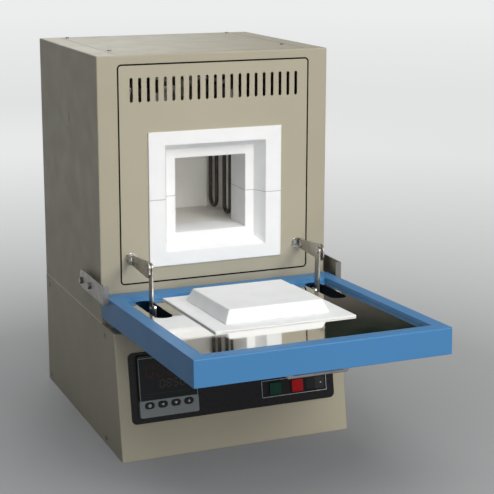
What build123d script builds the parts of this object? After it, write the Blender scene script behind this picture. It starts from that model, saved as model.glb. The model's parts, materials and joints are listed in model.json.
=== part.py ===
from build123d import *
import os
from math import atan2, cos, radians, sin

# A bench-top muffle furnace with a flap-down door, shown with the door open.
# Millimetres, +Z up. X runs to the user's right, Y to the back, and the origin lies on the
# floor plane, straight below the middle of the upper case's front face (y = 0).

# ---------------------------------------------------------------- driving dimensions
CASE_WIDTH = 385.0
CASE_DEPTH = 340.0
CASE_TOP = 614.0
SEAM = 196.0                 # the upper case stands on the base at this height
SHEET = 1.5                  # sheet steel of the case, base and door
BEND = 2.0                   # outer radius of the folded corners
LEDGE = 10.0                 # width of the joggled ledges that carry the inset panels
FIT_GAP = 0.1                # side clearance of a plate dropped into its frame

SHOULDER_Y = -62.0           # top edge of the base's sloping front
TOE_Y = -97.0                # foot of the base's sloping front

PANEL_WIDTH = 317.0          # inset front panel round the mouth
PANEL_LOW = 256.0
PANEL_TOP = 598.5
PANEL_GAP = 1.2
PANEL_CORNER = 5.0
SLOT_COUNT = 21
SLOT_PITCH = 13.8
SLOT_SIZE = (38.0, 5.0)
SLOT_Z = 560.0

AXIS_Z = 386.5               # height of the middle of the mouth and chamber
MOUTH_OUTER = (224.6, 214.0)
MOUTH_FRONT = -2.5           # the fibre mouth stands this far out of the case
RECESS_FRONT = 170.6
RECESS_BACK = 150.4
RECESS_DEPTH_Y = 22.75
OPENING = 120.0
JAMB_BACK = 84.0
CHAMBER_WIDTH = 154.0
CHAMBER_BACK = 200.0
CHAMBER_ROOF = 452.0
LINING_BACK = 236.0
BOARD_WIDTH = 296.0          # outside of the backing insulation
BOARD_FRONT = 3.0
BOARD_BACK = 272.0
BOARD_LOW = 240.0
BOARD_TOP = 528.0

HOT_RADIUS = 3.25            # hot legs of the U-shaped heating elements
TERMINAL_RADIUS = 6.0
ELEMENT_X = 63.0
ELEMENT_LEGS = ((95.4, 121.5), (156.7, 185.6))
ELEMENT_BOTTOM = 330.0
TERMINAL_LOW = 470.0
TERMINAL_TOP = 562.0
ROOF_HOLE = 7.5

DOOR_TILT = 2.332            # degrees by which the open door's front edge stands high
RIM_Z = 244.3                # height of the open door's upper face at the case
DOOR_LENGTH = 411.4
DOOR_THICK = 38.6
KNUCKLE = 12.4               # rounded hinge edge, struck round the hinge axis
RIM_SIDE = 20.0
RIM_REAR = 46.0
RIM_FRONT = 22.4
MIRROR_DEPTH = 6.0
MIRROR_THICK = 1.2
PLUG_S = 166.5               # distance from the hinge edge to the plug's middle
PLUG_PLATE = (220.6, 224.7)
PLUG_PLATE_TOP = -3.5
PLUG_BASE = 166.0
PLUG_FACE = (148.0, 149.0)
PLUG_TOP = 16.1
PLUG_ROUND = 2.5

HINGE_Y, HINGE_Z = -12.9, 232.4
HINGE_X = 175.5
PIN_RADIUS = 2.5
RUNNING_FIT = 0.06

STAY_WALL = (-14.0, 297.0)   # (y, z) of the stay's fixed pivot on the front panel
STAY_LENGTH = 73.0
STAY_RISE = 4.0              # degrees by which the upper link rises at rest
LOWER_PLANE = 138.0          # inner faces of the two links, as distances from the middle
UPPER_PLANE = 143.5
LINK_THICK = 2.5
LOWER_HALF_WIDTH = 7.35
EAR_PLANE = 146.5

SLOT_X = 143.0               # stay slots in the mirror sheet
SLOT_WIDTH = 28.0
SLOT_S = (50.0, 165.0)

os.makedirs("parts", exist_ok=True)


# ---------------------------------------------------------------- reference planes
def front(y):
    """A plane facing the user at depth y, with sketch axes X and Z."""
    return Plane.XZ.offset(-y)


def side(x):
    """A plane facing right at x, with sketch axes Y and Z."""
    return Plane.YZ.offset(x)


TILT_COS, TILT_SIN = cos(radians(DOOR_TILT)), sin(radians(DOOR_TILT))
DOOR = Plane(origin=(0, 0, RIM_Z), x_dir=(1, 0, 0), z_dir=(0, TILT_SIN, TILT_COS))


def door_at(height):
    """A plane along the open door's face; sketch axes are X and minus the distance s out."""
    return DOOR.offset(height)


def door_section(x):
    """A plane across the door at x, with sketch axes s and h; extruding goes towards -X."""
    return Plane(origin=(x, 0, RIM_Z), x_dir=(0, -TILT_COS, TILT_SIN), z_dir=(-1, 0, 0))


def to_door(point):
    """Turn a (y, z) point at rest into the door's (s, h)."""
    y, rise = point[0], point[1] - RIM_Z
    return (-y * TILT_COS + rise * TILT_SIN, y * TILT_SIN + rise * TILT_COS)


SLOPE_LEAN = atan2(SHOULDER_Y - TOE_Y, SEAM)
SLOPE = Plane(origin=(0, SHOULDER_Y, SEAM), x_dir=(1, 0, 0),
              z_dir=(0, -cos(SLOPE_LEAN), sin(SLOPE_LEAN)))

OUT_OF_SLOPE = Axis(SLOPE.origin, SLOPE.z_dir)


def slope_at(height):
    """A plane along the base's sloping front; sketch axes are X and up the slope."""
    return SLOPE.offset(height)


def slope_y(z):
    """Depth of the sloping front's outer face at height z."""
    return TOE_Y + (SHOULDER_Y - TOE_Y) * z / SEAM


def finish(piece, name):
    """Label a finished piece and write it."""
    piece.part.label = name
    export_step(piece.part, f"parts/{name}.step")


def block(x_range, y_range, z_range, mode=Mode.ADD):
    """An upright block given by its extents along X, Y and Z."""
    size = [high - low for low, high in (x_range, y_range, z_range)]
    middle = [(high + low) / 2 for low, high in (x_range, y_range, z_range)]
    with Locations(tuple(middle)):
        Box(*size, mode=mode)


# ---------------------------------------------------------------- upper case
HALF_WIDTH = CASE_WIDTH / 2
PANEL_MIDDLE = (PANEL_LOW + PANEL_TOP) / 2
PANEL_HEIGHT = PANEL_TOP - PANEL_LOW
COVER_HALF = 158.0           # half the width of the gap for the top cover
COVER_Y = (12.0, 332.0)
CABLE_HALF = 150.0           # opening between base and case
CABLE_Y = (20.0, 320.0)
FAN_HOLE = 56.0

with BuildPart() as case_shell:
    block((-HALF_WIDTH, HALF_WIDTH), (0, CASE_DEPTH), (SEAM, CASE_TOP))
    folded = case_shell.edges().filter_by(Axis.Z) + case_shell.edges().group_by(Axis.Z)[-1]
    fillet(folded, BEND)
    inner = HALF_WIDTH - SHEET
    block((-inner, inner), (SHEET, CASE_DEPTH), (SEAM + SHEET, CASE_TOP - SHEET), Mode.SUBTRACT)
    # joggled ledges behind the front panel, under the top cover and before the rear cover
    with BuildSketch(front(SHEET)):
        with Locations((0, PANEL_MIDDLE)):
            Rectangle(PANEL_WIDTH + 2 * LEDGE, PANEL_HEIGHT + 2 * LEDGE)
    extrude(amount=-SHEET)
    with BuildSketch(Plane.XY.offset(CASE_TOP - SHEET)):
        with Locations((0, sum(COVER_Y) / 2)):
            Rectangle(2 * COVER_HALF + 2 * LEDGE, COVER_Y[1] - COVER_Y[0] + 8)
    extrude(amount=-SHEET)
    with BuildSketch(front(CASE_DEPTH - 2 * SHEET)):
        with Locations((0, (SEAM + CASE_TOP) / 2)):
            Rectangle(2 * inner, CASE_TOP - SEAM - 2 * SHEET)
            Rectangle(2 * (inner - LEDGE), CASE_TOP - SEAM - 2 * SHEET - 2 * LEDGE,
                      mode=Mode.SUBTRACT)
    extrude(amount=-SHEET)
    # front aperture, stepped so that the panel lies flush
    with BuildSketch(front(0)):
        with Locations((0, PANEL_MIDDLE)):
            RectangleRounded(PANEL_WIDTH + 2 * PANEL_GAP, PANEL_HEIGHT + 2 * PANEL_GAP,
                             PANEL_CORNER + PANEL_GAP)
    extrude(amount=-SHEET, mode=Mode.SUBTRACT)
    with BuildSketch(front(0)):
        with Locations((0, PANEL_MIDDLE)):
            Rectangle(PANEL_WIDTH - 2 * LEDGE, PANEL_HEIGHT - 2 * LEDGE)
    extrude(amount=-3 * SHEET, mode=Mode.SUBTRACT)
    # top aperture, stepped in the same way
    cover_depth = COVER_Y[1] - COVER_Y[0]
    with BuildSketch(Plane.XY.offset(CASE_TOP)):
        with Locations((0, sum(COVER_Y) / 2)):
            Rectangle(2 * COVER_HALF, cover_depth)
    extrude(amount=-SHEET, mode=Mode.SUBTRACT)
    with BuildSketch(Plane.XY.offset(CASE_TOP)):
        with Locations((0, sum(COVER_Y) / 2)):
            Rectangle(2 * (COVER_HALF - LEDGE), cover_depth - 2 * LEDGE)
    extrude(amount=-3 * SHEET, mode=Mode.SUBTRACT)
    block((-CABLE_HALF, CABLE_HALF), CABLE_Y, (SEAM - SHEET, SEAM + 2 * SHEET), Mode.SUBTRACT)
    # small keyhole in the left side
    with BuildSketch(side(-HALF_WIDTH - SHEET)):
        with Locations((161, 501)):
            SlotOverall(14, 3, rotation=90)
    extrude(amount=3 * SHEET, mode=Mode.SUBTRACT)
finish(case_shell, "case_shell")

with BuildPart() as top_cover:
    block((-COVER_HALF + 0.5, COVER_HALF - 0.5), (COVER_Y[0] + 0.5, COVER_Y[1] - 0.5),
          (CASE_TOP - SHEET, CASE_TOP))
finish(top_cover, "top_cover")

with BuildPart() as rear_cover:
    rear_half = inner - FIT_GAP
    rear_low, rear_high = SEAM + SHEET + FIT_GAP, CASE_TOP - SHEET - FIT_GAP
    block((-rear_half, rear_half), (CASE_DEPTH - SHEET, CASE_DEPTH), (rear_low, rear_high))
    with BuildSketch(front(CASE_DEPTH)):
        with Locations((0, AXIS_Z)):
            Circle(FAN_HOLE)
        with Locations((0, SLOT_Z)):
            with GridLocations(SLOT_PITCH, 0, SLOT_COUNT // 2, 1):
                SlotOverall(*SLOT_SIZE, rotation=90)
    extrude(amount=SHEET, mode=Mode.SUBTRACT)
finish(rear_cover, "rear_cover")

with BuildPart() as front_panel:
    with BuildSketch(front(0)):
        with Locations((0, PANEL_MIDDLE)):
            RectangleRounded(PANEL_WIDTH, PANEL_HEIGHT, PANEL_CORNER)
        with Locations((0, AXIS_Z)):
            Rectangle(*MOUTH_OUTER, mode=Mode.SUBTRACT)
        with Locations((0, SLOT_Z)):
            with GridLocations(SLOT_PITCH, 0, SLOT_COUNT, 1):
                SlotOverall(*SLOT_SIZE, rotation=90, mode=Mode.SUBTRACT)
    extrude(amount=-SHEET)
finish(front_panel, "front_panel")

# ---------------------------------------------------------------- base
BASE_INNER = HALF_WIDTH - SHEET
SKIN_Y = SHEET / cos(SLOPE_LEAN)     # the sloping sheet's thickness measured along Y
PANEL_X = (-173.0, 171.6)            # black control panel on the slope
PANEL_S = (32.0, 143.0)

with BuildPart() as base_housing:
    with BuildSketch(side(-HALF_WIDTH)):
        with BuildLine():
            Polyline((TOE_Y, 0), (SHOULDER_Y, SEAM), (CASE_DEPTH, SEAM), (CASE_DEPTH, 0),
                     close=True)
        make_face()
    extrude(amount=CASE_WIDTH)
    slope_edges = base_housing.faces().sort_by(Axis.Y)[0].edges()
    fillet(slope_edges.filter_by(Axis.X, reverse=True) + slope_edges.group_by(Axis.Z)[-1], BEND)
    with BuildSketch(side(-BASE_INNER)):
        with BuildLine():
            Polyline((slope_y(-5) + SKIN_Y, -5), (slope_y(SEAM - SHEET) + SKIN_Y, SEAM - SHEET),
                     (CASE_DEPTH + 5, SEAM - SHEET), (CASE_DEPTH + 5, -5), close=True)
        make_face()
    extrude(amount=2 * BASE_INNER, mode=Mode.SUBTRACT)
    block((-CABLE_HALF, CABLE_HALF), CABLE_Y, (SEAM - 2 * SHEET, SEAM), Mode.SUBTRACT)
    with BuildSketch(slope_at(0)):
        with Locations((sum(PANEL_X) / 2, -sum(PANEL_S) / 2)):
            Rectangle(PANEL_X[1] - PANEL_X[0] - 14, PANEL_S[1] - PANEL_S[0] - 8)
    extrude(amount=-2 * SHEET, mode=Mode.SUBTRACT)
finish(base_housing, "base_housing")

FLOOR_HALF = BASE_INNER - FIT_GAP
FLOOR_FRONT = slope_y(0) + SKIN_Y + 0.4
REAR_Y = CASE_DEPTH - SHEET

with BuildPart() as base_floor:
    block((-FLOOR_HALF, FLOOR_HALF), (FLOOR_FRONT, REAR_Y - FIT_GAP), (0, SHEET))
    with BuildSketch(Plane.XY):
        with Locations((110, 40)):
            with GridLocations(14, 0, 8, 1):
                SlotOverall(70, 5, rotation=90)
    extrude(amount=SHEET, mode=Mode.SUBTRACT)
finish(base_floor, "base_floor")

GLAND_X, GLAND_Z, GLAND_HOLE = 125.0, 55.0, 10.0

with BuildPart() as base_rear_panel:
    block((-FLOOR_HALF, FLOOR_HALF), (REAR_Y, CASE_DEPTH), (0, SEAM - SHEET - FIT_GAP))
    with BuildSketch(front(CASE_DEPTH)):
        with Locations((GLAND_X, GLAND_Z)):
            Circle(GLAND_HOLE)
        with Locations((-40, 120)):
            with GridLocations(SLOT_PITCH, 0, 12, 1):
                SlotOverall(60, 5, rotation=90)
    extrude(amount=SHEET, mode=Mode.SUBTRACT)
finish(base_rear_panel, "base_rear_panel")

with BuildPart() as cable_gland:
    with BuildSketch(front(CASE_DEPTH)):
        with Locations((GLAND_X, GLAND_Z)):
            RegularPolygon(14, 6)
    extrude(amount=-7)
    with BuildSketch(front(CASE_DEPTH + 7)):
        with Locations((GLAND_X, GLAND_Z)):
            Circle(12)
    extrude(amount=-12)
    chamfer(cable_gland.edges().group_by(Axis.Y)[-1], 2.5)
    with BuildSketch(front(CASE_DEPTH - 12)):
        with Locations((GLAND_X, GLAND_Z)):
            Circle(GLAND_HOLE)
    extrude(amount=-12)
    with BuildSketch(front(CASE_DEPTH + 19)):
        with Locations((GLAND_X, GLAND_Z)):
            Circle(5)
    extrude(amount=31, mode=Mode.SUBTRACT)
finish(cable_gland, "cable_gland")


# ---------------------------------------------------------------- case screws
def pan_head(plane, spots, radius=3.2, height=1.8):
    """Pan heads standing on a plane at the given sketch points."""
    with BuildSketch(plane) as heads:
        with Locations(*spots):
            Circle(radius)
    extrude(heads.sketch, amount=height)


COVER_SCREWS = [(x, y) for x in (-148, 148) for y in (77, 322)]
BASE_SCREWS = [(y, z) for y in (-15, 322) for z in (12, 180)]
REAR_SCREWS = [(x, z) for x in (-183, 0, 183) for z in (12, 183, 208, 604)]

with BuildPart() as case_screws:
    pan_head(Plane.XY.offset(CASE_TOP), COVER_SCREWS)
    pan_head(side(HALF_WIDTH), BASE_SCREWS)
    pan_head(Plane.YZ.offset(-HALF_WIDTH - 1.8), BASE_SCREWS)
    pan_head(front(CASE_DEPTH + 1.8), REAR_SCREWS)
finish(case_screws, "case_screws")


# ---------------------------------------------------------------- fibre mouth and chamber
MOUTH_LOW = AXIS_Z - MOUTH_OUTER[1] / 2
MOUTH_HIGH = AXIS_Z + MOUTH_OUTER[1] / 2
MOUTH_HALF = MOUTH_OUTER[0] / 2
OPENING_LOW = AXIS_Z - OPENING / 2


def mouth_ring(keep):
    """Half of the tapered fibre mouth; keep is Keep.TOP or Keep.BOTTOM of the split."""
    with BuildPart() as ring:
        block((-MOUTH_HALF, MOUTH_HALF), (MOUTH_FRONT, JAMB_BACK), (MOUTH_LOW, MOUTH_HIGH))
        with BuildSketch(front(MOUTH_FRONT)):
            with Locations((0, AXIS_Z)):
                Rectangle(RECESS_FRONT, RECESS_FRONT)
        with BuildSketch(front(RECESS_DEPTH_Y)):
            with Locations((0, AXIS_Z)):
                Rectangle(RECESS_BACK, RECESS_BACK)
        loft(mode=Mode.SUBTRACT)
        with BuildSketch(front(RECESS_DEPTH_Y)):
            with Locations((0, AXIS_Z)):
                Rectangle(OPENING, OPENING)
        extrude(amount=RECESS_DEPTH_Y - JAMB_BACK, mode=Mode.SUBTRACT)
        split(bisect_by=Plane.XY.offset(AXIS_Z), keep=keep)
    return ring


finish(mouth_ring(Keep.TOP), "mouth_ring_upper")
finish(mouth_ring(Keep.BOTTOM), "mouth_ring_lower")

CHAMBER_HALF = CHAMBER_WIDTH / 2

with BuildPart() as chamber_floor:
    block((-MOUTH_HALF, MOUTH_HALF), (JAMB_BACK, LINING_BACK), (MOUTH_LOW, OPENING_LOW))
finish(chamber_floor, "chamber_floor")

with BuildPart() as chamber_side_walls:
    for inner_x, outer_x in ((-MOUTH_HALF, -CHAMBER_HALF), (CHAMBER_HALF, MOUTH_HALF)):
        block((inner_x, outer_x), (JAMB_BACK, LINING_BACK), (OPENING_LOW, CHAMBER_ROOF))
finish(chamber_side_walls, "chamber_side_walls")

with BuildPart() as chamber_back_wall:
    block((-CHAMBER_HALF, CHAMBER_HALF), (CHAMBER_BACK, LINING_BACK), (OPENING_LOW, CHAMBER_ROOF))
finish(chamber_back_wall, "chamber_back_wall")

LEG_SPOTS = [(x, y) for x in (-ELEMENT_X, ELEMENT_X) for pair in ELEMENT_LEGS for y in pair]
SENSOR_SPOT = (0.0, 140.0)
SENSOR_HOLE = 4.5

with BuildPart() as chamber_roof:
    block((-MOUTH_HALF, MOUTH_HALF), (JAMB_BACK, LINING_BACK), (CHAMBER_ROOF, MOUTH_HIGH))
    with BuildSketch(Plane.XY.offset(CHAMBER_ROOF)):
        with Locations(*LEG_SPOTS):
            Circle(ROOF_HOLE)
        with Locations(SENSOR_SPOT):
            Circle(SENSOR_HOLE)
    extrude(amount=MOUTH_HIGH - CHAMBER_ROOF, mode=Mode.SUBTRACT)
finish(chamber_roof, "chamber_roof")

BOARD_HALF = BOARD_WIDTH / 2

with BuildPart() as insulation_bottom:
    block((-BOARD_HALF, BOARD_HALF), (BOARD_FRONT, BOARD_BACK), (BOARD_LOW, MOUTH_LOW))
finish(insulation_bottom, "insulation_bottom")

with BuildPart() as insulation_sides:
    for inner_x, outer_x in ((-BOARD_HALF, -MOUTH_HALF), (MOUTH_HALF, BOARD_HALF)):
        block((inner_x, outer_x), (BOARD_FRONT, BOARD_BACK), (MOUTH_LOW, MOUTH_HIGH))
finish(insulation_sides, "insulation_sides")

with BuildPart() as insulation_back:
    block((-MOUTH_HALF, MOUTH_HALF), (LINING_BACK, BOARD_BACK), (MOUTH_LOW, MOUTH_HIGH))
finish(insulation_back, "insulation_back")

with BuildPart() as insulation_top:
    block((-BOARD_HALF, BOARD_HALF), (BOARD_FRONT, BOARD_BACK), (MOUTH_HIGH, BOARD_TOP))
    with BuildSketch(Plane.XY.offset(MOUTH_HIGH)):
        with Locations(*LEG_SPOTS):
            Circle(ROOF_HOLE)
        with Locations(SENSOR_SPOT):
            Circle(SENSOR_HOLE)
    extrude(amount=BOARD_TOP - MOUTH_HIGH, mode=Mode.SUBTRACT)
finish(insulation_top, "insulation_top")

INNER_TOP = BOARD_TOP + SHEET

with BuildPart() as inner_shell:
    wall = BOARD_HALF + SHEET
    block((-wall, wall), (BOARD_FRONT, BOARD_BACK + SHEET), (BOARD_LOW - SHEET, INNER_TOP))
    block((-BOARD_HALF, BOARD_HALF), (BOARD_FRONT, BOARD_BACK), (BOARD_LOW, BOARD_TOP),
          Mode.SUBTRACT)
    for x in (-ELEMENT_X, ELEMENT_X):
        block((x - 11, x + 11), (84, 197), (BOARD_TOP, INNER_TOP), Mode.SUBTRACT)
    with BuildSketch(Plane.XY.offset(BOARD_TOP)):
        with Locations(SENSOR_SPOT):
            Circle(SENSOR_HOLE)
    extrude(amount=SHEET, mode=Mode.SUBTRACT)
finish(inner_shell, "inner_shell")

STAND_Y = (30.0, 260.0)

with BuildPart() as inner_shell_stand:
    for sign in (-1, 1):
        with BuildSketch(front(STAND_Y[0])):
            low, high = SEAM + SHEET, BOARD_LOW - SHEET
            with BuildLine():
                Polyline((sign * 118, high), (sign * 140, high), (sign * 140, low + 2),
                         (sign * 176, low + 2), (sign * 176, low), (sign * 138, low),
                         (sign * 138, high - 2), (sign * 118, high - 2), close=True)
            make_face()
        extrude(amount=STAND_Y[0] - STAND_Y[1])
finish(inner_shell_stand, "inner_shell_stand")


# ---------------------------------------------------------------- heating elements
def heating_elements(x):
    """The two U-shaped elements that hang in one side of the chamber."""
    with BuildPart() as elements:
        for near, far in ELEMENT_LEGS:
            bend = (far - near) / 2
            bend_z = ELEMENT_BOTTOM + HOT_RADIUS + bend
            with BuildLine(side(x)) as wire:
                Line((near, TERMINAL_LOW), (near, bend_z))
                ThreePointArc((near, bend_z), (near + bend, bend_z - bend), (far, bend_z))
                Line((far, bend_z), (far, TERMINAL_LOW))
            with BuildSketch(Plane(origin=(x, near, TERMINAL_LOW), z_dir=(0, 0, -1))):
                Circle(HOT_RADIUS)
            sweep(path=wire.line)
            for leg in (near, far):
                with BuildSketch(Plane(origin=(x, leg, TERMINAL_LOW))):
                    Circle(TERMINAL_RADIUS)
                extrude(amount=TERMINAL_TOP - TERMINAL_LOW)
    return elements


finish(heating_elements(-ELEMENT_X), "heating_elements_left")
finish(heating_elements(ELEMENT_X), "heating_elements_right")

HOLDER_HEIGHT = 14.0
STRAP_Z = (550.0, 556.0)

with BuildPart() as element_holders:
    for x in (-ELEMENT_X, ELEMENT_X):
        for near, far in ELEMENT_LEGS:
            with BuildSketch(Plane.XY.offset(INNER_TOP)):
                with Locations((x, (near + far) / 2)):
                    RectangleRounded(26, far - near + 22, 4)
                with Locations((x, near), (x, far)):
                    Circle(TERMINAL_RADIUS, mode=Mode.SUBTRACT)
            extrude(amount=HOLDER_HEIGHT)
finish(element_holders, "element_holders")

with BuildPart() as element_straps:
    leg_y = [y for pair in ELEMENT_LEGS for y in pair]
    joined = [((-ELEMENT_X, leg_y[1]), (-ELEMENT_X, leg_y[2])),
              ((ELEMENT_X, leg_y[1]), (ELEMENT_X, leg_y[2])),
              ((-ELEMENT_X, leg_y[3]), (ELEMENT_X, leg_y[3]))]
    for first, last in joined:
        with BuildSketch(Plane.XY.offset(STRAP_Z[0])):
            with Locations(first, last):
                Circle(9)
            make_hull()
            with Locations(first, last):
                Circle(TERMINAL_RADIUS, mode=Mode.SUBTRACT)
        extrude(amount=STRAP_Z[1] - STRAP_Z[0])
finish(element_straps, "element_straps")

with BuildPart() as thermocouple:
    with BuildSketch(Plane.XY.offset(CHAMBER_ROOF - 20)):
        with Locations(SENSOR_SPOT):
            Circle(3)
    extrude(amount=INNER_TOP - CHAMBER_ROOF + 20)
    with BuildSketch(Plane.XY.offset(INNER_TOP)):
        with Locations(SENSOR_SPOT):
            Circle(8)
    extrude(amount=16)
    with BuildSketch(Plane.XY.offset(INNER_TOP + 16)):
        with Locations(SENSOR_SPOT):
            RectangleRounded(34, 20, 5)
    extrude(amount=12)
finish(thermocouple, "thermocouple")

# ---------------------------------------------------------------- power parts in the base
CORE_X, CORE_Y = -75.0, 210.0
CORE = (120.0, 60.0, 100.0)
LIMB = 20.0
WINDOW = (20.0, 60.0)

with BuildPart() as transformer_core:
    with BuildSketch(front(CORE_Y - CORE[1] / 2)):
        with Locations((CORE_X, SHEET + CORE[2] / 2)):
            Rectangle(CORE[0], CORE[2])
            with GridLocations(3 * LIMB, 0, 2, 1):
                Rectangle(*WINDOW, mode=Mode.SUBTRACT)
    extrude(amount=-CORE[1])
finish(transformer_core, "transformer_core")

with BuildPart() as transformer_coil:
    with BuildSketch(Plane.XY.offset(SHEET + LIMB + 0.5)):
        with Locations((CORE_X, CORE_Y)):
            RectangleRounded(4 * LIMB - 1, CORE[1] + 2 * LIMB - 1, 12)
            Rectangle(2 * LIMB, CORE[1], mode=Mode.SUBTRACT)
    extrude(amount=WINDOW[1] - 1)
finish(transformer_coil, "transformer_coil")

FIN_COUNT, FIN_PITCH = 9, 10.0

with BuildPart() as power_regulator:
    with BuildSketch(front(150)):
        with Locations((95, SHEET + 5)):
            Rectangle(90, 10)
        with Locations((95, SHEET + 27)):
            with GridLocations(FIN_PITCH, 0, FIN_COUNT, 1):
                Rectangle(2.5, 34.5)
    extrude(amount=-110)
finish(power_regulator, "power_regulator")

# ---------------------------------------------------------------- cooling fan
FAN_SIZE = 119.5
FAN_DEPTH = 25.0
FAN_BACK = CASE_DEPTH - SHEET
FAN_FRONT = FAN_BACK - FAN_DEPTH
FAN_BORE = 57.0
HUB_RADIUS = 20.0
BLADE_TIP = 54.5
BLADE_COUNT = 7
BLADE_PITCH = 32.0
BLADE_SECTION = (22.0, 1.6)
AXLE_RADIUS = 2.0

with BuildPart() as fan_frame:
    with BuildSketch(front(FAN_FRONT)):
        with Locations((0, AXIS_Z)):
            RectangleRounded(FAN_SIZE, FAN_SIZE, 6)
            Circle(FAN_BORE, mode=Mode.SUBTRACT)
    extrude(amount=-FAN_DEPTH)
    with BuildSketch(front(FAN_FRONT)):
        with Locations((0, AXIS_Z)):
            Circle(HUB_RADIUS - 1)
            Rectangle(2 * FAN_BORE + 1, 7)
            Rectangle(7, 2 * FAN_BORE + 1)
    extrude(amount=-3)
    with BuildSketch(front(FAN_FRONT + 3)):
        with Locations((0, AXIS_Z)):
            Circle(AXLE_RADIUS)
    extrude(amount=-16)
finish(fan_frame, "fan_frame")

with BuildPart() as fan_impeller:
    with BuildSketch(front(FAN_FRONT + 4)):
        with Locations((0, AXIS_Z)):
            Circle(HUB_RADIUS)
    extrude(amount=-18)
    chamfer(fan_impeller.edges().group_by(Axis.Y)[-1], 2)
    for number in range(BLADE_COUNT):
        outward = Vector(0, 0, 1).rotate(Axis.Y, 360 / BLADE_COUNT * number)
        along = Vector(0, 1, 0).rotate(Axis((0, 0, 0), outward), 90 - BLADE_PITCH)
        root = Vector(0, FAN_FRONT + 13, AXIS_Z) + outward * (HUB_RADIUS - 2)
        with BuildSketch(Plane(origin=root, x_dir=along, z_dir=outward)):
            Rectangle(*BLADE_SECTION)
        extrude(amount=BLADE_TIP - HUB_RADIUS + 2)
    with BuildSketch(front(FAN_FRONT + 4)):
        with Locations((0, AXIS_Z)):
            Circle(AXLE_RADIUS + RUNNING_FIT)
    extrude(amount=-16, mode=Mode.SUBTRACT)
finish(fan_impeller, "fan_impeller")

GUARD_Y = CASE_DEPTH + 3.0
WIRE = 1.1
GUARD_RINGS = (54.0, 41.0, 28.0, 15.0)

with BuildPart() as fan_guard:
    hub_point = (0, GUARD_Y, AXIS_Z)
    with BuildSketch(front(GUARD_Y + WIRE)):
        with Locations((0, AXIS_Z)):
            for ring_radius in GUARD_RINGS:
                Circle(ring_radius + WIRE)
                Circle(ring_radius - WIRE, mode=Mode.SUBTRACT)
    extrude(amount=2 * WIRE)
    for turn in (45, 135, 225, 315):
        spoke = Vector(1, 0, 0).rotate(Axis.Y, turn)
        foot = Vector(*hub_point) + spoke * 74.2
        with BuildSketch(Plane(origin=Vector(*hub_point) + spoke * 14, z_dir=spoke)):
            Circle(WIRE + 0.2)
        extrude(amount=60)
        with BuildSketch(Plane(origin=(foot.X, CASE_DEPTH, foot.Z), z_dir=(0, 1, 0))):
            Circle(4.5)
        extrude(amount=GUARD_Y + WIRE + 0.4 - CASE_DEPTH)
finish(fan_guard, "fan_guard")

# ---------------------------------------------------------------- control panel
CONTROLLER = 96.0
CONTROLLER_X, CONTROLLER_S = -113.0, 85.4
BEZEL_LOW, BEZEL_TOP = 2.0, 9.0      # heights above the sloping sheet
CUTOUT = 91.0
WINDOW_SIZE = (92.0, 65.4)
WINDOW_S = 74.7
KEY_S = 115.1
KEY_PITCH = 21.4
KEY_X = -113.35
KEY_SIZE = (15.6, 10.2)
KEY_CLEARANCE = 0.25
KEY_FLANGE = 2.6
KEY_NAMES = ("key_function", "key_shift", "key_down", "key_up")

STRIP_X, STRIP_S = 101.25, 115.5
STRIP = (114.5, 28.0)
SWITCH_BLOCK_X = (55.0, 156.5)
SWITCH_BLOCK_HEIGHT = 26.0
CAP = 19.5
CAP_GAP = 0.3
GREEN_X, RED_X, ROCKER_X = 67.2, 105.5, 138.6
ROCKER = (31.6, 19.4)
ROCKER_REST = 9.0            # degrees by which the rocker lies over at rest
POCKET_FLOOR = -8.0

with BuildPart() as control_panel:
    with BuildSketch(slope_at(0)):
        with Locations((sum(PANEL_X) / 2, -sum(PANEL_S) / 2)):
            RectangleRounded(PANEL_X[1] - PANEL_X[0], PANEL_S[1] - PANEL_S[0], 8)
        with Locations((CONTROLLER_X, -CONTROLLER_S)):
            Rectangle(CUTOUT, CUTOUT, mode=Mode.SUBTRACT)
        with Locations((sum(SWITCH_BLOCK_X) / 2, -STRIP_S)):
            Rectangle(SWITCH_BLOCK_X[1] - SWITCH_BLOCK_X[0] + 2 * FIT_GAP,
                      SWITCH_BLOCK_HEIGHT + 2 * FIT_GAP, mode=Mode.SUBTRACT)
    extrude(amount=BEZEL_LOW)
finish(control_panel, "control_panel")

with BuildPart() as controller_bezel:
    with BuildSketch(slope_at(BEZEL_LOW)):
        with Locations((CONTROLLER_X, -CONTROLLER_S)):
            RectangleRounded(CONTROLLER, CONTROLLER, 3)
    extrude(amount=BEZEL_TOP - BEZEL_LOW)
    with BuildSketch(slope_at(6)):
        with Locations((CONTROLLER_X, -WINDOW_S)):
            Rectangle(*WINDOW_SIZE)
    extrude(amount=BEZEL_TOP - 6, mode=Mode.SUBTRACT)
    with BuildSketch(slope_at(BEZEL_LOW)):
        with Locations((KEY_X, -KEY_S)):
            Rectangle(86, 16)
    extrude(amount=4.5, mode=Mode.SUBTRACT)
    with BuildSketch(slope_at(6)):
        with Locations((KEY_X, -KEY_S)):
            with GridLocations(KEY_PITCH, 0, len(KEY_NAMES), 1):
                SlotOverall(KEY_SIZE[0] + 2 * KEY_CLEARANCE, KEY_SIZE[1] + 2 * KEY_CLEARANCE)
    extrude(amount=BEZEL_TOP - 6, mode=Mode.SUBTRACT)
finish(controller_bezel, "controller_bezel")

with BuildPart() as controller_window:
    with BuildSketch(slope_at(6)):
        with Locations((CONTROLLER_X, -WINDOW_S)):
            Rectangle(WINDOW_SIZE[0] - 2 * FIT_GAP, WINDOW_SIZE[1] - 2 * FIT_GAP)
    extrude(amount=2.6)
finish(controller_window, "controller_window")

with BuildPart() as controller_body:
    with BuildSketch(slope_at(BEZEL_LOW)):
        with Locations((CONTROLLER_X, -CONTROLLER_S)):
            Rectangle(CUTOUT - 1, CUTOUT - 1)
    extrude(amount=-80)
finish(controller_body, "controller_body")

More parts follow.
